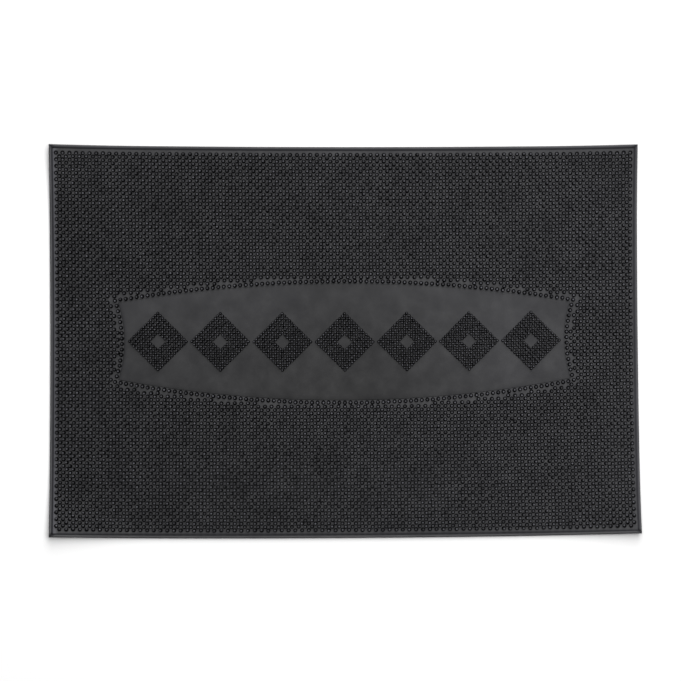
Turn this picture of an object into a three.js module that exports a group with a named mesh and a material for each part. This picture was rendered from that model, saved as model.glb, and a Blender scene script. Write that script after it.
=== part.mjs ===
// A moulded rubber scraper mat for a doorway.
//
// One base sheet carries everything: a raised rim bead, a smooth barrel-shaped panel, a row of studs
// along the panel's outline, seven lozenges of finer studs on the panel, and fields of scraper studs
// from the panel out to the rim. Each field, row and lozenge is the solid envelope of its studs.
//
// Millimetres. +X runs along the long side, +Y to the rear, +Z up, and the origin is on the floor
// under the middle of the mat.
import * as THREE from "three";

// Whole mat
const MAT_LENGTH = 600;
const MAT_DEPTH = 400;
const SHEET_THICKNESS = 2;

// Rim bead, which runs round the edge on top of the sheet
const RIM_WIDTH = 3.6;
const RIM_HEIGHT = 1.6;
const RIM_OUTER_WALL = 0.7;
const RIM_CREST_START = 0.9;
const RIM_CREST_END = 1.6;
const RIM_INNER_ROUNDING = 0.8;
const MITRE_GAP = 0.3;

// Studs
const STUD_HEIGHT = 5;
const STUD_ROOT_DIAMETER = 4;
const END_TO_FIRST_STUD = 7.2;
const SIDE_TO_FIRST_STUD = 8.2;

// Outline row: the centre line of the studs that follow the panel's barrel shape.
// Its long sides bulge outwards and its short ends are slightly hollow.
const ROW_CORNER_X = 234;
const ROW_CORNER_Y = 41.3;
const ROW_MIDDLE_Y = 62.2;
const ROW_END_HOLLOW = 7;
const ROW_CORNER_CLEARANCE = 3;

// Smooth panel, inside the outline row
const PANEL_THICKNESS = 0.5;
const PANEL_TO_ROW = 2.3;

// Stud fields, outside the outline row
const ROW_TO_FIELD = 2.4;
const FIELD_COLUMNS = 3;
const FIELD_GAP = 0.6;

// Lozenges on the panel
const LOZENGE_COUNT = 7;
const LOZENGE_PITCH = 63.5;
const LOZENGE_HALF_DIAGONAL = 30.5;
const LOZENGE_HOLE_HALF_DIAGONAL = 8;

const ARC_STEPS = 24;
const ROUNDING_STEPS = 4;

const SHEET_RUBBER = new THREE.MeshStandardMaterial({ color: 0x3c3c3e, roughness: 0.62, metalness: 0 });
const RIM_RUBBER = new THREE.MeshStandardMaterial({ color: 0x343436, roughness: 0.58, metalness: 0 });
const FIELD_RUBBER = new THREE.MeshStandardMaterial({ color: 0x262628, roughness: 0.66, metalness: 0 });
const ROW_RUBBER = new THREE.MeshStandardMaterial({ color: 0x2b2b2d, roughness: 0.66, metalness: 0 });
const LOZENGE_RUBBER = new THREE.MeshStandardMaterial({ color: 0x222224, roughness: 0.66, metalness: 0 });

const mat = new THREE.Group();

function addPiece(name, geometry, material, height = 0) {
  const mesh = new THREE.Mesh(geometry, material);
  mesh.name = name;
  mesh.position.z = height;
  mat.add(mesh);
}

function extrudeUp(shape, height) {
  return new THREE.ExtrudeGeometry(shape, { depth: height, bevelEnabled: false });
}

// The barrel outline's two circles and its corner in the +X +Y quarter, offset outwards by offset.
// The long arcs have their centre below the mat's middle, and the end arcs beyond the panel's end.
function barrelOutline(offset) {
  const rise = ROW_MIDDLE_Y - ROW_CORNER_Y;
  const longRadiusOnRow = (ROW_CORNER_X ** 2 + rise ** 2) / (2 * rise);
  const endRadiusOnRow = (ROW_CORNER_Y ** 2 + ROW_END_HOLLOW ** 2) / (2 * ROW_END_HOLLOW);
  const longCentre = new THREE.Vector2(0, ROW_MIDDLE_Y - longRadiusOnRow);
  const endCentre = new THREE.Vector2(ROW_CORNER_X - ROW_END_HOLLOW + endRadiusOnRow, 0);
  const longRadius = longRadiusOnRow + offset;
  const endRadius = endRadiusOnRow - offset;
  const corner = circlesMeet(longCentre, longRadius, endCentre, endRadius);
  return { longCentre, longRadius, endCentre, endRadius, corner };
}

// The upper of the two points where two circles cross.
function circlesMeet(centreA, radiusA, centreB, radiusB) {
  const between = centreB.clone().sub(centreA);
  const distance = between.length();
  const along = (distance ** 2 + radiusA ** 2 - radiusB ** 2) / (2 * distance);
  const across = Math.sqrt(radiusA ** 2 - along ** 2);
  const direction = between.divideScalar(distance);
  const sideways = new THREE.Vector2(-direction.y, direction.x);
  return centreA.clone().addScaledVector(direction, along).addScaledVector(sideways, across);
}

// Points along a long arc (rear side) between two x positions.
function longArcPoints(outline, fromX, toX) {
  const points = [];
  for (let step = 0; step <= ARC_STEPS; step += 1) {
    const x = fromX + ((toX - fromX) * step) / ARC_STEPS;
    const y = outline.longCentre.y + Math.sqrt(outline.longRadius ** 2 - x ** 2);
    points.push(new THREE.Vector2(x, y));
  }
  return points;
}

// Points along the hollow arc at the right-hand end between two y positions.
function endArcPoints(outline, fromY, toY) {
  const points = [];
  for (let step = 0; step <= ARC_STEPS; step += 1) {
    const y = fromY + ((toY - fromY) * step) / ARC_STEPS;
    const x = outline.endCentre.x - Math.sqrt(outline.endRadius ** 2 - y ** 2);
    points.push(new THREE.Vector2(x, y));
  }
  return points;
}

// The same outline on another quarter or half of the mat.
function mirrored(points, signX, signY) {
  return points.map((point) => new THREE.Vector2(point.x * signX, point.y * signY));
}

function addBaseSheet() {
  const geometry = new THREE.BoxGeometry(MAT_LENGTH, MAT_DEPTH, SHEET_THICKNESS);
  addPiece("base_sheet", geometry, SHEET_RUBBER, SHEET_THICKNESS / 2);
}

// The bead's cross-section: x is the distance in from the mat's edge, y is the height on the sheet.
function rimProfile() {
  const profile = new THREE.Shape();
  profile.moveTo(0, 0);
  profile.lineTo(RIM_WIDTH, 0);
  profile.quadraticCurveTo(RIM_CREST_END + RIM_INNER_ROUNDING, RIM_HEIGHT, RIM_CREST_END, RIM_HEIGHT);
  profile.lineTo(RIM_CREST_START, RIM_HEIGHT);
  profile.quadraticCurveTo(0, RIM_HEIGHT, 0, RIM_OUTER_WALL);
  profile.closePath();
  return profile;
}

// One side of the rim, along +X on the front edge, with both ends cut back to the corner's mitre.
function rimSide(sideLength) {
  const settings = { depth: 1, bevelEnabled: false, curveSegments: ROUNDING_STEPS };
  const geometry = new THREE.ExtrudeGeometry(rimProfile(), settings);
  const position = geometry.attributes.position;
  for (let index = 0; index < position.count; index += 1) {
    const inset = position.getX(index);
    const height = position.getY(index);
    const end = position.getZ(index) > 0.5 ? 1 : -1;
    position.setXYZ(index, end * (sideLength / 2 - inset - MITRE_GAP), inset, height);
  }
  geometry.computeVertexNormals();
  return geometry;
}

function addRim() {
  const sides = [
    { name: "rim_front", turn: 0, length: MAT_LENGTH, distance: MAT_DEPTH / 2 },
    { name: "rim_right", turn: 1, length: MAT_DEPTH, distance: MAT_LENGTH / 2 },
    { name: "rim_rear", turn: 2, length: MAT_LENGTH, distance: MAT_DEPTH / 2 },
    { name: "rim_left", turn: 3, length: MAT_DEPTH, distance: MAT_LENGTH / 2 },
  ];
  for (const side of sides) {
    const geometry = rimSide(side.length);
    geometry.translate(0, -side.distance, 0);
    geometry.rotateZ((side.turn * Math.PI) / 2);
    addPiece(side.name, geometry, RIM_RUBBER, SHEET_THICKNESS);
  }
}

function addPanel() {
  const outline = barrelOutline(-PANEL_TO_ROW);
  const { x, y } = outline.corner;
  const rear = longArcPoints(outline, -x, x);
  const right = endArcPoints(outline, y, -y).slice(1, -1);
  const front = mirrored(longArcPoints(outline, -x, x), -1, -1);
  const left = mirrored(right, -1, -1);
  const shape = new THREE.Shape([...rear, ...right, ...front, ...left]);
  addPiece("smooth_panel", extrudeUp(shape, PANEL_THICKNESS), SHEET_RUBBER, SHEET_THICKNESS);
}

// The row's four sides, each the envelope of one line of studs standing on the sheet.
function addOutlineRows() {
  const outer = barrelOutline(STUD_ROOT_DIAMETER / 2);
  const inner = barrelOutline(-STUD_ROOT_DIAMETER / 2);
  const endX = inner.corner.x;
  const endY = inner.corner.y - ROW_CORNER_CLEARANCE;
  const rear = [...longArcPoints(outer, -endX, endX), ...longArcPoints(inner, endX, -endX)];
  const right = [...endArcPoints(outer, endY, -endY), ...endArcPoints(inner, -endY, endY)];
  const rows = [
    { name: "outline_studs_rear", points: rear },
    { name: "outline_studs_front", points: mirrored(rear, 1, -1) },
    { name: "outline_studs_left", points: mirrored(right, -1, 1) },
    { name: "outline_studs_right", points: right },
  ];
  for (const row of rows) {
    const shape = new THREE.Shape(row.points);
    addPiece(row.name, extrudeUp(shape, STUD_HEIGHT), ROW_RUBBER, SHEET_THICKNESS);
  }
}

// A block of the stud field behind or before the panel, between two x positions.
// Beyond the panel's corners it reaches down to the level of those corners.
function longSideField(outline, fromX, toX) {
  const farY = MAT_DEPTH / 2 - SIDE_TO_FIRST_STUD + STUD_ROOT_DIAMETER / 2;
  const { x: cornerX, y: cornerY } = outline.corner;
  const arc = longArcPoints(outline, Math.max(fromX, -cornerX), Math.min(toX, cornerX));
  const points = [new THREE.Vector2(toX, farY), new THREE.Vector2(fromX, farY)];
  if (fromX < -cornerX) {
    points.push(new THREE.Vector2(fromX, cornerY));
  }
  points.push(...arc);
  if (toX > cornerX) {
    points.push(new THREE.Vector2(toX, cornerY));
  }
  return points;
}

// The block of the stud field at the right-hand end of the panel.
function endField(outline) {
  const farX = MAT_LENGTH / 2 - END_TO_FIRST_STUD + STUD_ROOT_DIAMETER / 2;
  const topY = outline.corner.y - FIELD_GAP;
  const arc = endArcPoints(outline, topY, -topY);
  return [new THREE.Vector2(farX, -topY), new THREE.Vector2(farX, topY), ...arc];
}

function addStudFields() {
  const outline = barrelOutline(ROW_TO_FIELD);
  const halfLength = MAT_LENGTH / 2 - END_TO_FIRST_STUD + STUD_ROOT_DIAMETER / 2;
  const columnWidth = (2 * halfLength) / FIELD_COLUMNS;
  const columnNames = ["left", "middle", "right"];
  const blocks = [];
  for (let column = 0; column < FIELD_COLUMNS; column += 1) {
    const fromX = -halfLength + column * columnWidth + (column > 0 ? FIELD_GAP / 2 : 0);
    const toX = -halfLength + (column + 1) * columnWidth - (column < FIELD_COLUMNS - 1 ? FIELD_GAP / 2 : 0);
    const points = longSideField(outline, fromX, toX);
    blocks.push({ name: `stud_field_rear_${columnNames[column]}`, points });
    blocks.push({ name: `stud_field_front_${columnNames[column]}`, points: mirrored(points, 1, -1) });
  }
  const right = endField(outline);
  blocks.push({ name: "stud_field_end_left", points: mirrored(right, -1, 1) });
  blocks.push({ name: "stud_field_end_right", points: right });
  for (const block of blocks) {
    const shape = new THREE.Shape(block.points);
    addPiece(block.name, extrudeUp(shape, STUD_HEIGHT), FIELD_RUBBER, SHEET_THICKNESS);
  }
}

function lozengePath(path, halfDiagonal) {
  path.moveTo(halfDiagonal, 0);
  path.lineTo(0, halfDiagonal);
  path.lineTo(-halfDiagonal, 0);
  path.lineTo(0, -halfDiagonal);
  path.closePath();
  return path;
}

function addLozenges() {
  const panelTop = SHEET_THICKNESS + PANEL_THICKNESS;
  const height = STUD_HEIGHT - PANEL_THICKNESS;
  for (let count = 0; count < LOZENGE_COUNT; count += 1) {
    const shape = lozengePath(new THREE.Shape(), LOZENGE_HALF_DIAGONAL);
    shape.holes.push(lozengePath(new THREE.Path(), LOZENGE_HOLE_HALF_DIAGONAL));
    const geometry = extrudeUp(shape, height);
    geometry.translate((count - (LOZENGE_COUNT - 1) / 2) * LOZENGE_PITCH, 0, 0);
    addPiece(`lozenge_studs_${count + 1}`, geometry, LOZENGE_RUBBER, panelTop);
  }
}

addBaseSheet();
addRim();
addPanel();
addOutlineRows();
addStudFields();
addLozenges();

export default mat;
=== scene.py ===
"""A moulded black rubber scraper mat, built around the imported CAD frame.

Every CAD node is a region of one rubber moulding. The stud fields, rows and lozenges are plain envelopes
in CAD, and here each one becomes its real studs. Lengths are in millimetres until a mesh is made.
"""
import math

import bpy
import numpy as np
from mathutils import Matrix, Vector


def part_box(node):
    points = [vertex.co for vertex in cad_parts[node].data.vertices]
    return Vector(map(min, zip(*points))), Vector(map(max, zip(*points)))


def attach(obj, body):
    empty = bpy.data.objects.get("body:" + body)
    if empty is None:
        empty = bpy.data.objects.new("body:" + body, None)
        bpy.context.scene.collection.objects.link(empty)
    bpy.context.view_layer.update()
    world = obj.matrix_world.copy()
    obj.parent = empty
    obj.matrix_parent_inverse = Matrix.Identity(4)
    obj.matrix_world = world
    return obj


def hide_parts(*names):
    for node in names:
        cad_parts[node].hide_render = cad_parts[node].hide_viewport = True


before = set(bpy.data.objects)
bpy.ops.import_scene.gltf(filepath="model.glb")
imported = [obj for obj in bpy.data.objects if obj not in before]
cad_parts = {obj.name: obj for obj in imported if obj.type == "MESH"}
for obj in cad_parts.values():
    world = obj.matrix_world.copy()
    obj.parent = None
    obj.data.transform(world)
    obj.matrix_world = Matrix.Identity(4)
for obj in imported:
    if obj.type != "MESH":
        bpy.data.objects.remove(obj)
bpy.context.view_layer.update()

MM = 0.001
SEED = 20418

# ---------------------------------------------------------------- driving dimensions


def box_mm(node):
    """Lowest and highest corner of a CAD node, in millimetres."""
    low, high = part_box(node)
    return np.array(low) / MM, np.array(high) / MM


# From the frame
HALF_LENGTH, HALF_DEPTH, SHEET_TOP = box_mm("base_sheet")[1]
RIM_TOP = box_mm("rim_front")[1][2]
PANEL_TOP = box_mm("smooth_panel")[1][2]
STUD_TOP = box_mm("stud_field_rear_middle")[1][2]

# The sheet ends this far inside the rim's outer wall
SHEET_INSET = 0.8

# Studs: a steep cone with a flared root and a flat, slightly dished tip
STUD_ROOT_RADIUS = 2.17
STUD_SHOULDER_RADIUS = 0.98
STUD_TIP_RADIUS = 0.76
STUD_TIP_DISH = 0.06
STUD_SIDES = 12
STUD_SINK = 0.4
STUD_HEIGHT_SPREAD = 0.09

# The studs lean a little to the front left, more at the left end, in slow drifts, and each differs
STUD_LEAN = (math.radians(-3.4), math.radians(-3.4))
STUD_LEAN_TO_RIGHT = math.radians(1.2)
STUD_LEAN_DRIFT = math.radians(1.2)
STUD_LEAN_SPREAD = math.radians(2.0)
STUD_WANDER = 0.1

# Field lattice: studs on the corners and in the middle of every cell
EDGE_TO_FIRST_STUD_X = 7.2
EDGE_TO_FIRST_STUD_Y = 8.2
CELLS_LONG = 86
CELLS_DEEP = 56.5
ROW_TO_LATTICE = 3.7

# The barrel outline that the outline row follows, through its corners and its highest point
ROW_CORNER_X = 234.0
ROW_CORNER_Y = 41.3
ROW_MIDDLE_Y = 62.2
ROW_END_HOLLOW = 7.0
ROW_PITCH = 5.6
PANEL_TO_ROW = 2.3

# Lozenges of finer studs
LOZENGE_COUNT = 7
LOZENGE_HALF_CELL = 2.4
LOZENGE_OUTER_RING = 12
LOZENGE_INNER_RING = 4
LOZENGE_STUD_SCALE = 0.76

# The mat's corners curl up a little, along a bend that runs across each corner
CURL_HEIGHT = 8.5
CURL_REACH_X = 124.0
CURL_REACH_Y = 95.0

# It doesn't lie quite square: its ends sit back and spread, and it is a little deeper at the left
END_SET_BACK = 2.3
CORNER_SPREAD = 1.6
DEPTH_SKEW = -0.56

# Rubber: every tone is a grey with the same slight blue tint
BLUE_TINT = 1.13

# Light: most of it falls steeply, so the studs' sides stay dark between pale tips and pale ground
SURROUND_STRENGTH = 0.21
SOFTBOX_SIZE = 2.4
SOFTBOX_POWER = 101
SOFTBOX_PLACE = (0.5, 0.2, 3.3)
REAR_LIGHT_SIZE = 2.4
REAR_LIGHT_POWER = 68
REAR_LIGHT_PLACE = (0.2, 2.2, 2.2)

# Stage and camera, in metres
FLOOR_SIZE = 30.0
FLOOR_ALBEDO = 0.795
FLOOR_BELOW_MAT = 0.0001
CAMERA_DISTANCE = 4.0
CAMERA_TILT = math.radians(4.0)
CAMERA_SIDEWAYS = math.radians(2.0)
CAMERA_ROLL = math.radians(0.18)
CAMERA_AIM = (-0.0043, 0.00156, 0.0)
CAMERA_LENS = 207.03

random = np.random.default_rng(SEED)


# ---------------------------------------------------------------- shape of the whole sheet


def curl(x, y):
    """Height that the sheet is lifted at a point, and its slopes along x and y."""
    in_x = (HALF_LENGTH - np.abs(x)) / CURL_REACH_X
    in_y = (HALF_DEPTH - np.abs(y)) / CURL_REACH_Y
    bend = np.clip(1.0 - in_x - in_y, 0.0, 1.2)
    lift = CURL_HEIGHT * bend**2
    slope_x = 2 * CURL_HEIGHT * bend * np.sign(x) / CURL_REACH_X
    slope_y = 2 * CURL_HEIGHT * bend * np.sign(y) / CURL_REACH_Y
    return lift, slope_x, slope_y


def bent(points):
    """Points of the flat, square mat where the real sheet has settled and curled, in metres."""
    x, y, z = points[:, 0], points[:, 1], points[:, 2]
    along, across = x / HALF_LENGTH, y / HALF_DEPTH
    lift, slope_x, slope_y = curl(x, y)
    shift_x = CORNER_SPREAD * along * across**2
    shift_y = END_SET_BACK * along**2 + DEPTH_SKEW * along * across
    return np.column_stack([x + shift_x - z * slope_x, y + shift_y - z * slope_y, z + lift]) * MM


def drift(x, y, salt):
    """Slow, smooth unevenness over the mat, mostly between -1 and 1; each salt gives another pattern."""
    waves = np.random.default_rng(SEED + salt)
    total = np.zeros(len(x))
    for _ in range(10):
        turn, phase = waves.uniform(0, 2 * math.pi, 2)
        length = waves.uniform(25, 120)
        total += np.sin((x * math.cos(turn) + y * math.sin(turn)) * 2 * math.pi / length + phase)
    return total / 4


def make_piece(name, points, faces, material, cad_node, values=None):
    """A smooth-shaded mesh of the bent mat that stands for a CAD node and rides on the one body."""
    mesh = bpy.data.meshes.new(name)
    mesh.from_pydata(bent(points).tolist(), [], faces)
    mesh.polygons.foreach_set("use_smooth", np.ones(len(mesh.polygons), dtype=bool))
    for key, numbers in (values or {}).items():
        layer = mesh.attributes.new(key, "FLOAT", "POINT")
        layer.data.foreach_set("value", numbers.astype(np.float32))
    mesh.materials.append(material)
    piece = bpy.data.objects.new(name, mesh)
    bpy.context.scene.collection.objects.link(piece)
    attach(piece, "root")
    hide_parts(cad_node)
    return piece


# ---------------------------------------------------------------- barrel outline


def barrel(offset):
    """The outline's long and end circles, moved outwards by offset."""
    rise = ROW_MIDDLE_Y - ROW_CORNER_Y
    long_radius = (ROW_CORNER_X**2 + rise**2) / (2 * rise)
    end_radius = (ROW_CORNER_Y**2 + ROW_END_HOLLOW**2) / (2 * ROW_END_HOLLOW)
    return {
        "long_centre": ROW_MIDDLE_Y - long_radius,
        "end_centre": ROW_CORNER_X - ROW_END_HOLLOW + end_radius,
        "long_radius": long_radius + offset,
        "end_radius": end_radius - offset,
    }


def barrel_corner(shape):
    """The corner in the +x +y quarter, where the long and the end circle cross."""
    distance = math.hypot(shape["end_centre"], shape["long_centre"])
    squares = distance**2 + shape["long_radius"] ** 2 - shape["end_radius"] ** 2
    along = squares / (2 * distance)
    across = math.sqrt(shape["long_radius"] ** 2 - along**2)
    unit_x = shape["end_centre"] / distance
    unit_y = -shape["long_centre"] / distance
    return along * unit_x - across * unit_y, shape["long_centre"] + along * unit_y + across * unit_x


def long_side_y(shape, x):
    """Height of the rear long side at x."""
    return shape["long_centre"] + np.sqrt(shape["long_radius"] ** 2 - x**2)


def end_x(shape, y):
    """Place of the right-hand end at y."""
    return shape["end_centre"] - np.sqrt(shape["end_radius"] ** 2 - y**2)


def outside_row(x, y):
    """Distance outwards from the row's centre line; negative inside the panel."""
    row = barrel(0.0)
    past_long = np.hypot(x, np.abs(y) - row["long_centre"]) - row["long_radius"]
    past_end = row["end_radius"] - np.hypot(np.abs(x) - row["end_centre"], y)
    return np.maximum(past_long, past_end)


# ---------------------------------------------------------------- materials


def grey(tone):
    """A linear colour of the rubber's own tint."""
    return tone, tone, tone * BLUE_TINT


def node(tree, kind, **inputs):
    """A shader node with the given input values; names use _ for spaces."""
    made = tree.nodes.new(kind)
    for name, value in inputs.items():
        made.inputs[name.replace("_", " ")].default_value = value
    return made


def place_on_mat(tree):
    """The place on the mat, in metres, from the one texture coordinate node of the tree."""
    if "Texture Coordinate" not in tree.nodes:
        tree.nodes.new("ShaderNodeTexCoord")
    return tree.nodes["Texture Coordinate"].outputs["Object"]


def noise(tree, scale, detail, roughness):
    """A noise texture over the mat, as its Fac output."""
    made = node(tree, "ShaderNodeTexNoise", Scale=scale, Detail=detail, Roughness=roughness)
    tree.links.new(place_on_mat(tree), made.inputs["Vector"])
    return made.outputs["Fac"]


def blend_colours(tree, factor, first, second):
    """The first colour where factor is 0 and the second where it is 1; either may be a socket."""
    mix = tree.nodes.new("ShaderNodeMix")
    mix.data_type = "RGBA"
    tree.links.new(factor, mix.inputs[0])
    for socket, colour in ((mix.inputs[6], first), (mix.inputs[7], second)):
        if isinstance(colour, tuple):
            socket.default_value = (*colour, 1.0)
        else:
            tree.links.new(colour, socket)
    return mix.outputs[2]


def scaled(tree, value, low, high, to_low, to_high):
    """A value mapped from one range to another and held inside it."""
    ranges = {"From_Min": low, "From_Max": high, "To_Min": to_low, "To_Max": to_high}
    made = node(tree, "ShaderNodeMapRange", **ranges)
    tree.links.new(value, made.inputs["Value"])
    return made.outputs["Result"]


def added(tree, first, second):
    """The sum of two values."""
    made = tree.nodes.new("ShaderNodeMath")
    tree.links.new(first, made.inputs[0])
    tree.links.new(second, made.inputs[1])
    return made.outputs["Value"]


def attribute(tree, name):
    """A number that a mesh carries for each of its points."""
    made = tree.nodes.new("ShaderNodeAttribute")
    made.attribute_name = name
    return made.outputs["Fac"]


def axis(tree, name):
    """One coordinate over the mat, in metres."""
    split = tree.nodes.new("ShaderNodeSeparateXYZ")
    tree.links.new(place_on_mat(tree), split.inputs["Vector"])
    return split.outputs[name]


def base_colour(tree):
    """The socket that takes the shader's base colour."""
    return tree.nodes["Principled BSDF"].inputs["Base Color"]


def overlay(tree, factor, colour):
    """Cover the material's colour with another one as far as factor says; either may be a socket."""
    below = base_colour(tree).links[0].from_socket
    tree.links.new(blend_colours(tree, factor, below, colour), base_colour(tree))


def rubber(name, dark, light, roughness, gloss):
    """Moulded black rubber: cloudy, painted lighter to the right as painted sheen, with uneven sheen,
    grain and shallow waves.
    """
    material = bpy.data.materials.new(name)
    material.use_nodes = True
    tree = material.node_tree
    shader = tree.nodes["Principled BSDF"]
    shader.inputs["Specular IOR Level"].default_value = gloss

    clouds = scaled(tree, noise(tree, scale=9.0, detail=5.0, roughness=0.62), 0.36, 0.64, 0.08, 0.42)
    # Painted sheen: the colour grows lighter towards the right.
    wear_and_painted_light = scaled(tree, axis(tree, "X"), -0.3, 0.3, 0.0, 0.5)
    tone = blend_colours(tree, added(tree, clouds, wear_and_painted_light), grey(dark), grey(light))
    tree.links.new(tone, base_colour(tree))
    smears = noise(tree, scale=45.0, detail=5.0, roughness=0.65)
    sheen = scaled(tree, smears, 0.3, 0.7, roughness - 0.08, roughness + 0.08)
    tree.links.new(sheen, shader.inputs["Roughness"])

    grain = node(tree, "ShaderNodeBump", Strength=0.25, Distance=0.0001)
    tree.links.new(noise(tree, scale=1400.0, detail=3.0, roughness=0.7), grain.inputs["Height"])
    waves = node(tree, "ShaderNodeBump", Strength=0.25, Distance=0.0006)
    tree.links.new(noise(tree, scale=35.0, detail=2.0, roughness=0.5), waves.inputs["Height"])
    tree.links.new(grain.outputs["Normal"], waves.inputs["Normal"])
    tree.links.new(waves.outputs["Normal"], shader.inputs["Normal"])
    return material


def sheet_rubber():
    """The sheet's rubber: painted pale in the gutter between its left rim and the first studs, as painted
    light over the studs' shade.
    """
    material = rubber("sheet_rubber", dark=0.0105, light=0.0265, roughness=0.5, gloss=0.2)
    tree = material.node_tree
    # Painted light: the strip by the left rim is painted pale, over the shade that the studs cast there.
    painted_light_gutter = scaled(tree, axis(tree, "X"), -0.292, -0.295, 0.0, 1.0)
    overlay(tree, painted_light_gutter, grey(0.056))
    return material


def rim_rubber():
    """The rim's rubber: painted paler than the sheet's as a painted highlight, and painted darker along
    the front edge as painted shade.
    """
    # Painted highlight: the rim's rubber is paler than the sheet's.
    material = rubber("rim_rubber", dark=0.018, light=0.043, roughness=0.46, gloss=0.28)
    tree = material.node_tree
    # Painted shade: the rim's front edge is painted darker.
    front = scaled(tree, axis(tree, "Y"), -0.192, -0.194, 0.0, 0.6)
    overlay(tree, front, grey(0.008))
    return material


def panel_rubber():
    """The panel's rubber: smooth, and painted lighter towards its rear and its ends as painted light and
    sheen.
    """
    material = rubber("panel_rubber", dark=0.009, light=0.0225, roughness=0.48, gloss=0.165)
    tree = material.node_tree
    rubber_tone = base_colour(tree).links[0].from_socket
    # Painted light and shade: the panel is painted lighter towards its rear and its ends, and grey(0.005)
    # is its painted shade at the front middle.
    rear = scaled(tree, axis(tree, "Y"), -0.05, 0.05, 0.0, 0.6)
    right = scaled(tree, axis(tree, "X"), 0.02, 0.17, 0.0, 0.75)
    left = scaled(tree, axis(tree, "X"), -0.02, -0.2, 0.0, 0.5)
    wear_and_painted_light = added(tree, added(tree, rear, right), left)
    tree.links.new(blend_colours(tree, wear_and_painted_light, grey(0.005), rubber_tone), base_colour(tree))
    return material


def stud_rubber():
    """The studs' rubber: sides painted deep black as painted shade between the studs, and tips rubbed
    grey, some more than others.
    """
    # Painted shade: the studs' sides are painted near black, darker than the rubber, for the shade between
    # the studs; only the tips get the tip colour.
    material = rubber("stud_rubber", dark=0.001, light=0.006, roughness=0.5, gloss=0.11)
    tree = material.node_tree
    tips = blend_colours(tree, attribute(tree, "stud_shade"), grey(0.026), grey(0.082))
    rubbed = scaled(tree, attribute(tree, "stud_height"), 0.955, 0.995, 0.0, 1.0)
    overlay(tree, rubbed, tips)
    return material


SHEET_RUBBER = sheet_rubber()
PANEL_RUBBER = panel_rubber()
RIM_RUBBER = rim_rubber()
STUD_RUBBER = stud_rubber()


# ---------------------------------------------------------------- sheet, rim and panel


def grid_faces(rows, columns, start=0):
    """Quads of a grid of points that is stored row by row, facing up when x then y increase."""
    faces = []
    for row in range(rows - 1):
        for column in range(columns - 1):
            first = start + row * columns + column
            faces.append((first, first + 1, first + columns + 1, first + columns))
    return faces


def border_loop(rows, columns):
    """The (row, column) places round the border of a grid, in turn."""
    loop = [(0, column) for column in range(columns)]
    loop += [(row, columns - 1) for row in range(1, rows)]
    loop += [(rows - 1, column) for column in range(columns - 2, -1, -1)]
    loop += [(row, 0) for row in range(rows - 2, 0, -1)]
    return loop


def make_sheet():
    """The base sheet, kept just inside the rim's outer wall, with a grid fine enough to curl."""
    columns, rows = 121, 81
    xs = np.linspace(-1, 1, columns) * (HALF_LENGTH - SHEET_INSET)
    ys = np.linspace(-1, 1, rows) * (HALF_DEPTH - SHEET_INSET)
    grid_x, grid_y = np.meshgrid(xs, ys)
    top = np.column_stack([grid_x.ravel(), grid_y.ravel(), np.full(grid_x.size, SHEET_TOP)])
    bottom = top * (1, 1, 0)
    faces = grid_faces(rows, columns)
    faces += [face[::-1] for face in grid_faces(rows, columns, len(top))]
    edge = [row * columns + column for row, column in border_loop(rows, columns)]
    below = len(top)
    for here, there in zip(edge, edge[1:] + edge[:1]):
        faces.append((here + below, there + below, there, here))
    points = np.vstack([top, bottom])
    return make_piece("mat_sheet", points, faces, SHEET_RUBBER, "base_sheet")


def rim_section():
    """The rim's section as (distance in from the edge, height), from its underside round to the sheet."""
    drafted_wall = [(0.35, 0.0), (0.12, 0.12), (0.0, 0.4), (0.06, RIM_TOP - 0.9)]
    crest = []
    for step in range(6):
        angle = math.pi - step * math.pi / 10
        crest.append((1.0 + 0.9 * math.cos(angle), RIM_TOP - 0.75 + 0.75 * math.sin(angle)))
    inner_slope = [(1.5, RIM_TOP - 0.02), (2.1, RIM_TOP - 0.13)]
    inner_slope += [(2.6, RIM_TOP - 0.38), (3.1, RIM_TOP - 0.83)]
    foot = [(3.5, SHEET_TOP + 0.25), (3.9, SHEET_TOP + 0.01), (3.9, SHEET_TOP - 0.6)]
    return drafted_wall + crest + inner_slope + foot + [(1.2, 0.0)]


def make_rim_side(name, quarter_turns, half_side, distance):
    """One side of the rim, mitred at both corners, built along the front edge and then turned."""
    section = rim_section()
    steps = 120
    points = []
    for step in range(steps + 1):
        share = 2 * step / steps - 1
        for inset, height in section:
            points.append((share * (half_side - inset), -distance + inset, height))
    count = len(section)
    faces = []
    for step in range(steps):
        for corner in range(count):
            near = step * count + corner
            after = step * count + (corner + 1) % count
            faces.append((near, after, after + count, near + count))
    faces.append(tuple(range(count))[::-1])
    faces.append(tuple(steps * count + corner for corner in range(count)))
    points = np.array(points)
    for _ in range(quarter_turns):
        points = np.column_stack([-points[:, 1], points[:, 0], points[:, 2]])
    return make_piece(f"mat_{name}", points, faces, RIM_RUBBER, name)


def make_rim():
    """The rim's four sides, anticlockwise from the front."""
    make_rim_side("rim_front", 0, HALF_LENGTH, HALF_DEPTH)
    make_rim_side("rim_right", 1, HALF_DEPTH, HALF_LENGTH)
    make_rim_side("rim_rear", 2, HALF_LENGTH, HALF_DEPTH)
    make_rim_side("rim_left", 3, HALF_DEPTH, HALF_LENGTH)


def panel_level(inset, rows, columns):
    """A grid of x and y over the panel's outline, drawn in by inset."""
    shape = barrel(-PANEL_TO_ROW - inset)
    corner_x, corner_y = barrel_corner(shape)
    u, v = np.meshgrid(np.linspace(-1, 1, columns), np.linspace(-1, 1, rows))
    x = u * corner_x
    y = v * long_side_y(shape, x)
    hollow = corner_x - end_x(shape, v * corner_y)
    return x - u * u**4 * hollow, y


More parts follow.
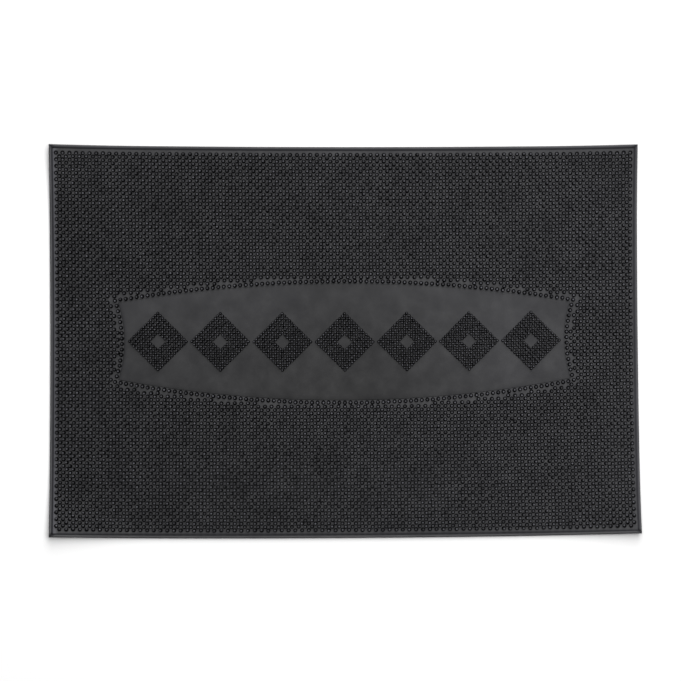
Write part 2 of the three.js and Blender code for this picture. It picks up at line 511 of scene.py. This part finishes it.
def make_panel():
    """The smooth panel: a thin plate on the sheet with a softened edge that follows the barrel outline."""
    rows, columns = 25, 129
    foot_and_wall = [(0.0, SHEET_TOP - 0.2), (0.05, SHEET_TOP + 0.2), (0.25, PANEL_TOP - 0.08)]
    edge_rounding = 0.6
    border = border_loop(rows, columns)
    size = len(border)
    points, loops = [], []
    for inset, height in foot_and_wall:
        x, y = panel_level(inset, rows, columns)
        loops.append([len(points) + step for step in range(size)])
        points += [(x[spot], y[spot], height) for spot in border]
    top_start = len(points)
    x, y = panel_level(edge_rounding, rows, columns)
    points += list(zip(x.ravel(), y.ravel(), np.full(x.size, PANEL_TOP)))
    loops.append([top_start + row * columns + column for row, column in border])
    faces = []
    for lower, upper in zip(loops, loops[1:]):
        for index in range(size):
            after = (index + 1) % size
            faces.append((lower[index], lower[after], upper[after], upper[index]))
    faces += grid_faces(rows, columns, top_start)
    faces.append(tuple(loops[0])[::-1])
    return make_piece("mat_panel", np.array(points), faces, PANEL_RUBBER, "smooth_panel")


# ---------------------------------------------------------------- studs


def stud_points(height, scale):
    """The points of one stud: rings from its sunk foot to its tip, and the middle of the dished tip."""
    rings = [
        (STUD_ROOT_RADIUS + 0.1, -STUD_SINK),
        (STUD_ROOT_RADIUS + 0.05, 0.02),
        (STUD_ROOT_RADIUS - 0.25, 0.38),
        (STUD_SHOULDER_RADIUS, height - 0.35),
        (STUD_SHOULDER_RADIUS - 0.09, height - 0.1),
        (STUD_TIP_RADIUS, height),
    ]
    points = []
    for radius, z in rings:
        for side in range(STUD_SIDES):
            angle = side * 2 * math.pi / STUD_SIDES
            points.append((math.cos(angle) * radius * scale, math.sin(angle) * radius * scale, z))
    points.append((0.0, 0.0, height - STUD_TIP_DISH))
    return np.array(points)


def stud_faces(point_count):
    """The faces of one stud: its foot, its wall ring by ring, and a fan over its tip."""
    middle = point_count - 1
    last = middle - STUD_SIDES
    faces = [tuple(range(STUD_SIDES))[::-1]]
    for ring_start in range(0, last, STUD_SIDES):
        for side in range(STUD_SIDES):
            near = ring_start + side
            after = ring_start + (side + 1) % STUD_SIDES
            faces.append((near, after, after + STUD_SIDES, near + STUD_SIDES))
    for side in range(STUD_SIDES):
        faces.append((last + side, last + (side + 1) % STUD_SIDES, middle))
    return faces


def scattered(template, centres, height, foot):
    """A copy of the template at every centre, each with its own size, height, lean and place."""
    count = len(centres)
    sizes = 1 + random.normal(0, 0.02, count)
    heights = 1 - np.abs(random.normal(0, STUD_HEIGHT_SPREAD / height, count))
    lean = random.normal(STUD_LEAN, STUD_LEAN_SPREAD, (count, 2))
    lean[:, 0] += STUD_LEAN_TO_RIGHT * centres[:, 0] / HALF_LENGTH
    for direction in range(2):
        lean[:, direction] += STUD_LEAN_DRIFT * drift(centres[:, 0], centres[:, 1], direction)
    wander = random.normal(0, STUD_WANDER, (count, 2))

    studs = np.repeat(template[None], count, axis=0)
    studs[:, :, :2] *= sizes[:, None, None]
    studs[:, :, 2] *= heights[:, None]
    studs[:, :, :2] += studs[:, :, 2:] * lean[:, None, :]
    studs[:, :, :2] += (centres + wander)[:, None, :]
    studs[:, :, 2] += foot
    return studs.reshape(-1, 3)


def tip_shades(centres):
    """How grey each stud's tip is rubbed, from 0 to 1: uneven, and painted a little greyer to the right as
    painted sheen.
    """
    slow = drift(centres[:, 0], centres[:, 1], 2)
    # Painted sheen: tips are painted greyer towards the right; the slow drift and the random part are
    # uneven wear.
    wear_and_painted_light = 0.48 + 0.14 * centres[:, 0] / HALF_LENGTH + 0.2 * slow
    return np.clip(wear_and_painted_light + random.normal(0, 0.28, len(centres)), 0, 1)


def make_studs(name, cad_node, centres, foot, scale=1.0):
    """All the studs that stand at centres, on a surface at height foot, as one piece."""
    height = STUD_TOP - foot
    template = stud_points(height, scale)
    size, count = len(template), len(centres)
    points = scattered(template, centres, height, foot)
    one = stud_faces(size)
    faces = [tuple(corner + stud * size for corner in face) for stud in range(count) for face in one]
    values = {
        "stud_height": np.tile(np.clip(template[:, 2] / height, 0, 1), count),
        "stud_shade": np.repeat(tip_shades(centres), size),
    }
    return make_piece(name, points, faces, STUD_RUBBER, cad_node, values)


def field_lattice():
    """Every lattice point of the mat that lies clear of the panel and its outline row."""
    steps_x = np.linspace(-1, 1, round(2 * CELLS_LONG) + 1) * (HALF_LENGTH - EDGE_TO_FIRST_STUD_X)
    steps_y = np.linspace(-1, 1, round(2 * CELLS_DEEP) + 1) * (HALF_DEPTH - EDGE_TO_FIRST_STUD_Y)
    column, row = np.meshgrid(np.arange(len(steps_x)), np.arange(len(steps_y)))
    staggered = (column + row) % 2 == 1
    points = np.column_stack([steps_x[column[staggered]], steps_y[row[staggered]]])
    return points[outside_row(points[:, 0], points[:, 1]) >= ROW_TO_LATTICE]


def make_fields():
    """The stud fields, each stud in the CAD block that it stands in."""
    points = field_lattice()
    middle_edge = box_mm("stud_field_rear_middle")[1][0]
    end_edge = box_mm("stud_field_rear_left")[0][1]
    sides = {"left": points[:, 0] < -middle_edge, "right": points[:, 0] > middle_edge}
    sides["middle"] = ~sides["left"] & ~sides["right"]
    rows = {"rear": points[:, 1] >= end_edge, "front": points[:, 1] <= -end_edge}
    rows["end"] = ~rows["rear"] & ~rows["front"]
    for row, in_row in rows.items():
        for side, in_side in sides.items():
            node_name = f"stud_field_{row}_{side}"
            if node_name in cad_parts:
                centres = points[in_row & in_side]
                make_studs(f"studs_{row}_{side}", node_name, centres, SHEET_TOP)


def make_outline_rows():
    """The studs that follow the barrel outline, evenly spaced along each of its four arcs."""
    row = barrel(0.0)
    half_long = math.asin(ROW_CORNER_X / row["long_radius"])
    steps = round(2 * half_long * row["long_radius"] / ROW_PITCH)
    turn = np.linspace(-half_long, half_long, steps + 1)
    rear = np.column_stack([np.sin(turn), np.cos(turn)]) * row["long_radius"] + (0, row["long_centre"])
    half_end = math.asin(ROW_CORNER_Y / row["end_radius"])
    steps = round(2 * half_end * row["end_radius"] / ROW_PITCH)
    turn = np.linspace(-half_end, half_end, steps + 1)[1:-1]
    right = np.column_stack([-np.cos(turn), np.sin(turn)]) * row["end_radius"] + (row["end_centre"], 0)
    sides = {"rear": rear, "front": rear * (1, -1), "right": right, "left": right * (-1, 1)}
    for side, centres in sides.items():
        make_studs(f"row_{side}", f"outline_studs_{side}", centres, SHEET_TOP)


def make_lozenges():
    """Rings of finer studs round the middle of each lozenge."""
    reach = LOZENGE_OUTER_RING
    i, j = np.meshgrid(np.arange(-reach, reach + 1), np.arange(-reach, reach + 1))
    ring = np.abs(i) + np.abs(j)
    kept = (ring % 2 == 0) & (ring <= reach) & (ring >= LOZENGE_INNER_RING)
    shape = np.column_stack([i[kept], j[kept]]) * LOZENGE_HALF_CELL
    for number in range(1, LOZENGE_COUNT + 1):
        low, high = box_mm(f"lozenge_studs_{number}")
        centre = (low + high)[:2] / 2
        make_studs(
            f"lozenge_{number}",
            f"lozenge_studs_{number}",
            shape + centre,
            PANEL_TOP,
            LOZENGE_STUD_SCALE,
        )


# ---------------------------------------------------------------- stage, light and camera


def make_floor():
    """A large plain pale floor, a hair below the mat so that the two never coincide."""
    bpy.ops.mesh.primitive_plane_add(size=FLOOR_SIZE, location=(0, 0, -FLOOR_BELOW_MAT))
    floor = bpy.context.object
    floor.name = "floor"
    material = bpy.data.materials.new("floor")
    material.use_nodes = True
    shader = material.node_tree.nodes["Principled BSDF"]
    shader.inputs["Base Color"].default_value = (FLOOR_ALBEDO, FLOOR_ALBEDO, FLOOR_ALBEDO, 1.0)
    shader.inputs["Roughness"].default_value = 0.9
    floor.data.materials.append(material)


def make_softbox(name, place, size, power):
    """A square softbox that faces the middle of the mat."""
    light = bpy.data.lights.new(name, "AREA")
    light.shape = "SQUARE"
    light.size = size
    light.energy = power
    holder = bpy.data.objects.new(name, light)
    holder.location = place
    holder.rotation_euler = (-Vector(place)).to_track_quat("-Z", "Y").to_euler()
    bpy.context.scene.collection.objects.link(holder)


def make_light():
    """A dim surround, one softbox high above, and one behind for a soft shadow at the front edge."""
    world = bpy.data.worlds.new("studio")
    world.use_nodes = True
    background = world.node_tree.nodes["Background"]
    background.inputs["Color"].default_value = (1.0, 1.0, 1.0, 1.0)
    background.inputs["Strength"].default_value = SURROUND_STRENGTH
    bpy.context.scene.world = world
    make_softbox("softbox", SOFTBOX_PLACE, SOFTBOX_SIZE, SOFTBOX_POWER)
    make_softbox("rear_softbox", REAR_LIGHT_PLACE, REAR_LIGHT_SIZE, REAR_LIGHT_POWER)


def make_camera():
    """A long lens almost straight above the mat, a little in front and to the left of it."""
    data = bpy.data.cameras.new("camera")
    data.sensor_width = 36.0
    data.lens = CAMERA_LENS
    data.clip_start = 0.1
    data.clip_end = 50.0
    camera = bpy.data.objects.new("camera", data)
    tilt_back = Matrix.Rotation(CAMERA_TILT, 4, "X")
    turn_back = Matrix.Rotation(-CAMERA_SIDEWAYS, 4, "Y")
    roll_back = Matrix.Rotation(-CAMERA_ROLL, 4, "Z")
    aim = Matrix.Translation(CAMERA_AIM)
    away = Matrix.Translation((0, 0, CAMERA_DISTANCE))
    camera.matrix_world = aim @ tilt_back @ turn_back @ roll_back @ away
    bpy.context.scene.collection.objects.link(camera)
    bpy.context.scene.camera = camera
    bpy.context.scene.view_settings.view_transform = "Standard"


def write_size():
    """Bring the scene's view layer up to date."""
    bpy.context.view_layer.update()


make_camera()
make_floor()
make_light()
make_sheet()
make_rim()
make_panel()
make_outline_rows()
make_fields()
make_lozenges()
write_size()
